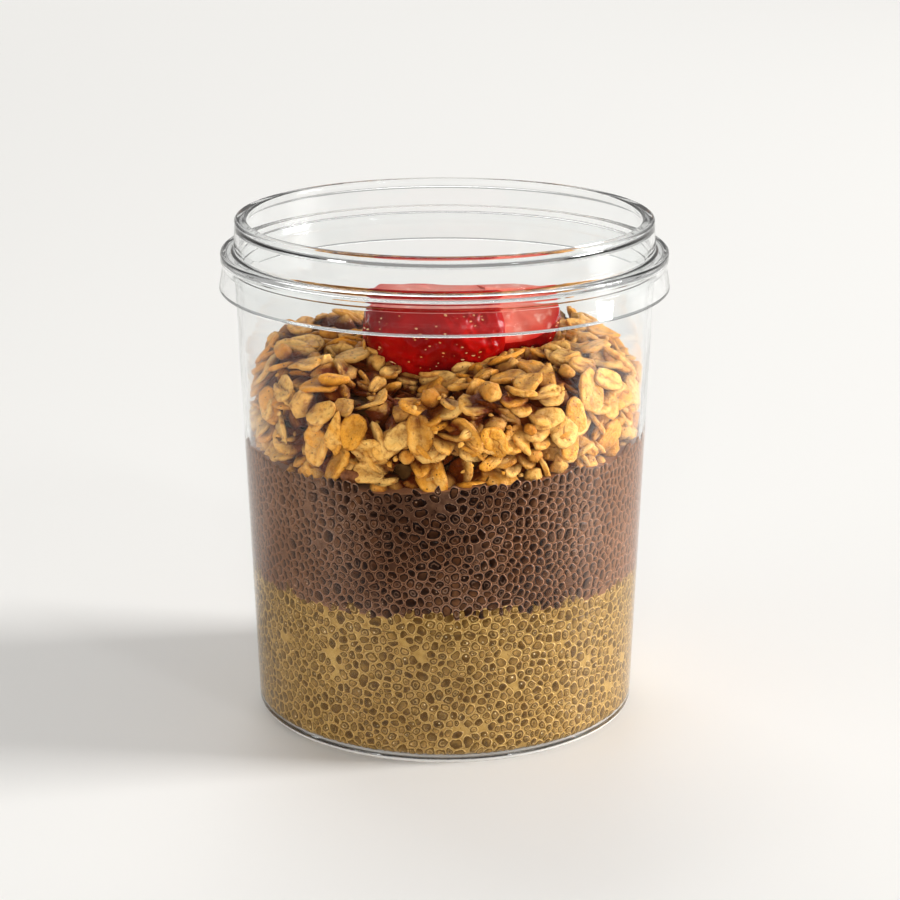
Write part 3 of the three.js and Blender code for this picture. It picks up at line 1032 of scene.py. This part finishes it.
def flake(chance, long, wide, thick, curl, keep=1.0):
    """A rolled oat: a plump uneven oval, sometimes creased, sometimes broken short."""
    form = bmesh.new()
    bmesh.ops.create_uvsphere(form, u_segments=14, v_segments=6, radius=1)
    if keep < 1:
        tilt = Vector((1, chance.normal(0, 0.4), chance.normal(0, 0.2))).normalized()
        sliced(form, (2 * keep - 1, 0, 0), tilt)
    unit, faces = as_arrays(form)
    x, y, z = unit.T
    rim = np.hypot(x, y)
    turn = np.arctan2(y, x)
    waves = chance.uniform(0, math.tau, 4)
    outline = np.maximum(rim, 1e-6) ** -0.3 * (1 + 0.07 * np.sin(2 * turn) ** 2 * rim)
    outline *= 1 + 0.04 * np.cos(2 * turn + waves[0]) + 0.05 * np.cos(3 * turn + waves[1])
    outline += 0.03 * np.cos(5 * turn + waves[2]) * rim
    taper = 1 - chance.uniform(0.0, 0.2) * np.clip(x, 0, 1) ** 2
    outline += chance.normal(0, 0.025, len(x)) * (rim > 0.99)
    flat_x = x * outline * long / 2
    flat_y = y * outline * taper * wide / 2
    body = np.sign(z) * np.abs(z) ** 0.45 * thick / 2
    crease = np.exp(-(flat_y / (0.12 * wide)) ** 2) * np.clip(1.1 - rim ** 2, 0, 1)
    body -= crease * np.where(z > 0, 0.42, -0.15) * thick * chance.uniform(-0.3, 1)
    body += 0.2 * np.sin(1.1 * flat_x + waves[3]) * flat_y / wide * 2
    body += chance.normal(0, 0.05, len(x))
    own = np.stack([flat_x, flat_y, body], 1)
    shape = (curl, chance.normal(0, 0.012), chance.normal(0, 0.05))
    rows = []
    half_wide = max(wide / 2 - BALL, 0.0)
    for row in ((-1, 0, 1) if half_wide > 0.8 else (0,)):
        reach = (long / 2 - BALL) * math.sqrt(1 - (row * half_wide / (wide / 2)) ** 2)
        for at in np.linspace(-reach, reach, max(2, int(reach / 0.85) + 1)):
            if at < (2 * keep - 1) * long / 2:
                rows.append((at, row * half_wide, 0))
    raft = bend(np.array(rows), *shape)
    corners = bend(own, *shape)
    middle = raft.mean(0)
    return corners - middle, faces, own, np.stack([rim, y], 1), raft - middle, np.full(len(raft), BALL)


def crisp_ball(chance, radius, lumps):
    """A puffed ball or a crumbly cluster, as lumpy as asked."""
    form = bmesh.new()
    bmesh.ops.create_icosphere(form, subdivisions=2, radius=1)
    shift = Vector(chance.uniform(-9, 9, 3))
    for vert in form.verts:
        broad = noise.noise(vert.co * 1.4 + shift)
        vert.co *= 1 + lumps * broad + 0.14 * noise.noise(vert.co * 4 + shift)
    unit, faces = as_arrays(form)
    corners = unit * radius * (1, chance.uniform(0.85, 1), chance.uniform(0.8, 1))
    plain = np.full((len(unit), 2), 0.6)
    return corners, faces, corners, plain, np.zeros((1, 3)), np.array([radius * 0.92])


def crumb(chance, radius):
    form = bmesh.new()
    bmesh.ops.create_icosphere(form, subdivisions=1, radius=1)
    unit, faces = as_arrays(form)
    corners = unit * radius * chance.uniform(0.6, 1.25, (len(unit), 1)) * (1, 0.8, 0.6)
    plain = np.full((len(unit), 2), 0.6)
    return corners, faces, corners, plain, np.zeros((1, 3)), np.array([radius * 0.8])


def whole_nut(long, wide):
    """A small whole nut, round in section and narrower at one end."""
    form = bmesh.new()
    bmesh.ops.create_uvsphere(form, u_segments=24, v_segments=14, radius=1)
    unit, faces = as_arrays(form)
    corners = unit * (long / 2, wide / 2, wide * 0.44)
    corners[:, 1:] *= 1 - 0.22 * unit[:, :1]
    plain = np.full((len(unit), 2), 0.6)
    row = np.array([(-long / 5, 0, 0), (0, 0, 0), (long / 5, 0, 0)])
    return corners, faces, corners, plain, row, np.full(3, wide * 0.43)


def flakes(count, *spans):
    """Different flakes, each of sizes drawn between the least and the most."""
    return [flake(chance, *[chance.uniform(*span) for span in spans]) for i in range(count)]


NUT_LONG = 5.8
NUT_WIDE = 3.6
NUT_ANGLE = math.radians(-27.5)
NUT_REACH = 40.2
NUT_LEVEL = 60.9
NUT_CLEAR = 3.9
nut_out = np.array((math.sin(NUT_ANGLE), -math.cos(NUT_ANGLE), 0))
nut_along = np.array((math.cos(NUT_ANGLE), math.sin(NUT_ANGLE), 0))
nut_place = (NUT_REACH * math.sin(NUT_ANGLE), -NUT_REACH * math.cos(NUT_ANGLE), NUT_LEVEL)

chance = np.random.default_rng(31)
kinds = {
    "oat_flakes": (540, flakes(14, (7.2, 9.8), (4.7, 6.3), (1.0, 1.35), (0.02, 0.2))),
    "folded_oats": (90, flakes(6, (7.0, 9.0), (5.0, 6.2), (1.0, 1.2), (0.35, 0.55))),
    "broken_oats": (150, flakes(8, (8, 10), (4.4, 5.8), (1.1, 1.4), (0.02, 0.25), (0.45, 0.7))),
    "oat_slivers": (120, flakes(6, (6.0, 9.0), (2.0, 3.0), (1.2, 1.6), (0.02, 0.1))),
    "crisp_balls": (125, [crisp_ball(chance, chance.uniform(1.5, 2.2), 0.35) for i in range(6)]),
    "oat_clusters": (60, [crisp_ball(chance, chance.uniform(1.9, 2.9), 0.75) for i in range(8)]),
    "oat_crumbs": (560, [crumb(chance, chance.uniform(0.45, 0.95)) for i in range(6)]),
    "brown_nut": (1, [whole_nut(NUT_LONG, NUT_WIDE)]),
}

scattered = []
for label, (count, shapes) in kinds.items():
    for i in range(count):
        scattered.append((label, shapes[chance.integers(len(shapes))], chance.uniform(0.88, 1.1)))
spots = []
while len(spots) < len(scattered):
    x, y = chance.uniform(-HEAP_HALF, HEAP_HALF, 2)
    z = chance.uniform(HEAP_BOTTOM, HEAP_CREST)
    r = math.hypot(x, y)
    if r > inner_radius(z) - 1 or not dark_line(x, y) - 0.4 < z < heap_top(x, y) - 0.7:
        continue
    beside_nut = math.dist((x, y, z), nut_place) < NUT_CLEAR
    if (r > CORE_RADIUS or z > core_top(x, y)) and not beside_nut:
        spots.append((x, y, z))
spots[-1] = nut_place
centres = np.array(spots)
far = np.linalg.norm(centres[:, :2], axis=1)
lean = np.clip((far - 30) / 11, 0, 1) * np.clip((84 - centres[:, 2]) / 12, 0.2, 1)
lean *= chance.uniform(0.2, 1.1, len(lean))
normal = np.stack([centres[:, 0] / far * lean, centres[:, 1] / far * lean, 1.15 - lean], 1)
normal += chance.normal(0, 0.3, normal.shape)
normal /= np.linalg.norm(normal, axis=1)[:, None]
along = np.cross(normal, chance.normal(0, 1, normal.shape))
along[-1] = nut_along
normal[-1] = nut_out
nut_seat = centres[-1] + np.outer((-NUT_LONG / 5, 0, NUT_LONG / 5), nut_along)
along /= np.linalg.norm(along, axis=1)[:, None]
turns = np.stack([along, np.cross(normal, along), normal], 2)

owner = np.concatenate([np.full(len(s[4]), i) for i, (k, s, g) in enumerate(scattered)])
arms = np.concatenate([s[4] * g for k, s, g in scattered])
sizes = np.concatenate([s[5] * g for k, s, g in scattered])
berries = []
for size in (LARGE_BERRY, SMALL_BERRY):
    half = np.array([size["length"], size["wide"], size["wide"]]) / 2
    berries.append((np.array(berry_lie(size)), np.array(size["middle"]), half))

FALL = 0.02
PRESSED = 0.8
ROOF_GIVE = 0.5
BED_DEPTH = 1.6
WALL_GAP = 0.12
CORNER_GAP = 0.08
HEAP_ROUNDS = 90


def in_heap(spots, sizes):
    """Keeps every ball in the pot, off the core, under the heap's outline, clear of fruit."""
    x, y, z = spots.T
    z = z - FALL
    roof = heap_top(x, y) + ROOF_GIVE - sizes
    z = np.minimum(z, np.maximum(roof, DARK_TOP + 1))
    z = np.maximum(z, dark_line(x, y) - BED_DEPTH + sizes)
    for lie, middle, half in berries:
        spot = (np.stack([x, y, z], 1) - middle) @ lie
        reach = np.linalg.norm(spot / (half + sizes[:, None] * PRESSED), axis=1)
        spot = np.where(reach[:, None] < 1, spot / np.maximum(reach, 0.2)[:, None], spot)
        x, y, z = (spot @ lie.T + middle).T
    r = np.maximum(np.hypot(x, y), 1e-6)
    up = core_top(x, y) + sizes * PRESSED - z
    out = CORE_RADIUS + sizes * PRESSED - r
    inside = (up > 0) & (out > 0)
    z = z + np.where(inside & (up <= out), up, 0)
    away = r + np.where(inside & (up > out), out, 0)
    away = np.minimum(away, inner_radius(z) - WALL_GAP - sizes)
    kept = np.stack([x * away / r, y * away / r, z], 1)
    kept[-3:] = nut_seat
    return kept


centres, turns = settle(arms, owner, sizes, centres, turns, in_heap, HEAP_ROUNDS)
forms = [
    shape[0] * size @ turn.T + centre
    for (label, shape, size), centre, turn in zip(scattered, centres, turns)
]
for form in forms:
    free = inner_radius(form[:, 2]) - CORNER_GAP
    form[:, :2] *= np.minimum(1, free / np.hypot(form[:, 0], form[:, 1]))[:, None]

COVER_CELL = 1.7
WALL_ARC = 41
SLOPE_ARC = 38


def sunk_behind(across, along, out):
    """How far each corner lies behind the pieces that stand out most around it."""
    column = np.round(across / COVER_CELL).astype(int)
    row = np.round(along / COVER_CELL).astype(int)
    column -= column.min()
    row -= row.min()
    front = np.full((column.max() + 2, row.max() + 2), out.min())
    np.maximum.at(front, (column, row), out)
    around = np.max([np.roll(front, (i, j), (0, 1)) for i in (-1, 0, 1) for j in (-1, 0, 1)], 0)
    return around[column, row] - out


# The sunk depth of every corner, which the toasted paint turns into painted shade between the pieces.
x, y, z = np.concatenate(forms).T
r = np.hypot(x, y)
angle = np.arctan2(x, -y)
inside = sunk_behind(angle * WALL_ARC, z, r)
slope = sunk_behind(angle * SLOPE_ARC, (z - r) * 0.7, (z + r) * 0.7)
sunk = np.minimum(np.minimum(inside, slope), sunk_behind(x, y, z))
ends_at = np.cumsum([len(form) for form in forms])
copies = {label: [] for label in kinds}
for (label, shape, size), corners, end in zip(scattered, forms, ends_at):
    look = np.concatenate([np.full((len(corners), 1), chance.random()), shape[3]], 1)
    own = shape[2] + chance.uniform(-500, 500, 3)
    cover = np.repeat(sunk[end - len(corners):end, None], 3, 1)
    copies[label].append((corners, shape[1], {"own": own, "look": look, "sunk": cover}))

# Toasted oats: pale to golden with browned patches, cracks and dark specks; rims darkened partly by
# toasting and partly by painted shade, painted shade in some creases and where pieces lie behind their
# neighbours.
tree, ends, out = effect(
    "toasted",
    {"Pale": (0.7, 0.5, 0.3), "Golden": (0.6, 0.4, 0.1), "Brown": (0.3, 0.1, 0.05), "Rim": 0.5},
    {"Color": "NodeSocketColor", "Height": "NodeSocketFloat"},
)
toasted = tree
own = own_look(tree, "own")
tone, rim, side = split(tree, own_look(tree, "look"))
sunk = split(tree, own_look(tree, "sunk"))["X"]
patch = ranged(tree, grain(tree, own, 0.5, 3.0), 0.3, 0.7, -0.35, 0.35)
level = ranged(tree, maths(tree, "ADD", tone, patch), 0.1, 0.95)
shade = blended(tree, level, ends.outputs["Pale"], ends.outputs["Golden"])
coarse = grain(tree, own, 0.9, 3.0, 0.6)
burn = ranged(tree, coarse, 0.5, 0.74, 0.0, 0.8)
shade = blended(tree, burn, shade, ends.outputs["Brown"])
# Rims darker: partly browned by toasting, partly painted shade where pieces meet.
edge = maths(tree, "MULTIPLY", ranged(tree, rim, 0.84, 1.0), ends.outputs["Rim"])
shade = blended(tree, maths(tree, "MULTIPLY", edge, 0.5), shade, ends.outputs["Brown"])
# Painted shade: a dark line along the crease of some flakes, which the relief also dents.
wander = ranged(tree, grain(tree, own, 0.35, 1.0), 0.3, 0.7, -0.22, 0.22)
fold = maths(tree, "ABSOLUTE", maths(tree, "ADD", side, wander))
fold = ranged(tree, fold, 0.02, 0.1, 1.0, 0.0)
fold = maths(tree, "MULTIPLY", fold, ranged(tree, rim, 0.6, 0.9, 1.0, 0.0))
some = ranged(tree, grain(tree, own, 0.11, 1.0), 0.48, 0.6)
fold = maths(tree, "MULTIPLY", maths(tree, "MULTIPLY", fold, some), ends.outputs["Rim"])
shade = blended(tree, fold, shade, ends.outputs["Brown"])
cracks = maths(tree, "ABSOLUTE", maths(tree, "SUBTRACT", grain(tree, own, 0.75, 2.0), 0.5))
cracks = ranged(tree, cracks, 0.003, 0.016, 0.2, 0.0)
cracks = maths(tree, "MULTIPLY", cracks, ranged(tree, grain(tree, own, 0.3, 1.0), 0.42, 0.55))
shade = blended(tree, cracks, shade, ends.outputs["Brown"])
# Painted shade: corners that lie behind the pieces around them are darkened towards deep brown.
painted_gap_shade = ranged(tree, sunk, 0.45, 2.5)
shade = blended(tree, painted_gap_shade, shade, (0.15, 0.05, 0.010), "MULTIPLY")
spot = tree.nodes.new("ShaderNodeTexVoronoi")
spot.inputs["Scale"].default_value = 1.05
tree.links.new(own, spot.inputs["Vector"])
rare = ranged(tree, split(tree, spot.outputs["Color"])["X"], 0.6, 0.8)
dot = ranged(tree, spot.outputs["Distance"], 0.13, 0.22, 0.92, 0.0)
shade = blended(tree, maths(tree, "MULTIPLY", dot, rare), shade, (0.05, 0.012, 0.004))
tree.links.new(shade, out.inputs["Color"])
fine = grain(tree, own, 2.4, 4.0, 0.65)
relief = maths(tree, "ADD", fine, maths(tree, "MULTIPLY", coarse, 1.4))
relief = maths(tree, "SUBTRACT", relief, maths(tree, "MULTIPLY", fold, 0.5))
relief = maths(tree, "SUBTRACT", relief, maths(tree, "MULTIPLY", cracks, 0.35))
tree.links.new(relief, out.inputs["Height"])


def oat_paint(name, rough, **shades):
    paint, tree, shader = material(name, rough, 0.2)
    toast = placed_group(tree, toasted, **shades)
    tree.links.new(toast["Color"], shader.inputs["Base Color"])
    raised(tree, shader, toast["Height"], 1.0, 0.00035)
    return paint


oat_skin = oat_paint(
    "oat_skin", 0.38, Pale=(1.0, 0.60, 0.17), Golden=(0.88, 0.38, 0.04),
    Brown=(0.42, 0.10, 0.004), Rim=0.7,
)
crisp_skin = oat_paint(
    "crisp_skin", 0.4, Pale=(0.86, 0.46, 0.11), Golden=(0.66, 0.25, 0.028),
    Brown=(0.36, 0.085, 0.006), Rim=0.0,
)

nut_skin, tree, shader = material("nut_skin", 0.3, 0.4)
husk = ranged(tree, grain(tree, own_look(tree, "own"), 0.9, 3.0), 0.35, 0.65)
shade = blended(tree, husk, (0.10, 0.030, 0.010), (0.24, 0.085, 0.03))
tree.links.new(shade, shader.inputs["Base Color"])

# Painted shade: the packed core is near-black brown, so that the gaps between the pieces read as deep
# shade.
packed_oats_shade_dark, tree, shader = material("packed_oats_shade_dark", 0.7, 0.2)
crust = ranged(tree, grain(tree, object_place(tree), 350.0, 4.0), 0.35, 0.65)
shade = blended(tree, crust, (0.03, 0.010, 0.002), (0.13, 0.055, 0.013))
tree.links.new(shade, shader.inputs["Base Color"])

paints = {"crisp_balls": crisp_skin, "oat_clusters": crisp_skin, "brown_nut": nut_skin}
pieces = [(granola_core, packed_oats_shade_dark)]
pieces += [(joined(label, made), paints.get(label, oat_skin)) for label, made in copies.items()]
for piece, paint in pieces:
    piece.data.materials.append(paint)
    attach(piece, "root")
    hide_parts("granola")
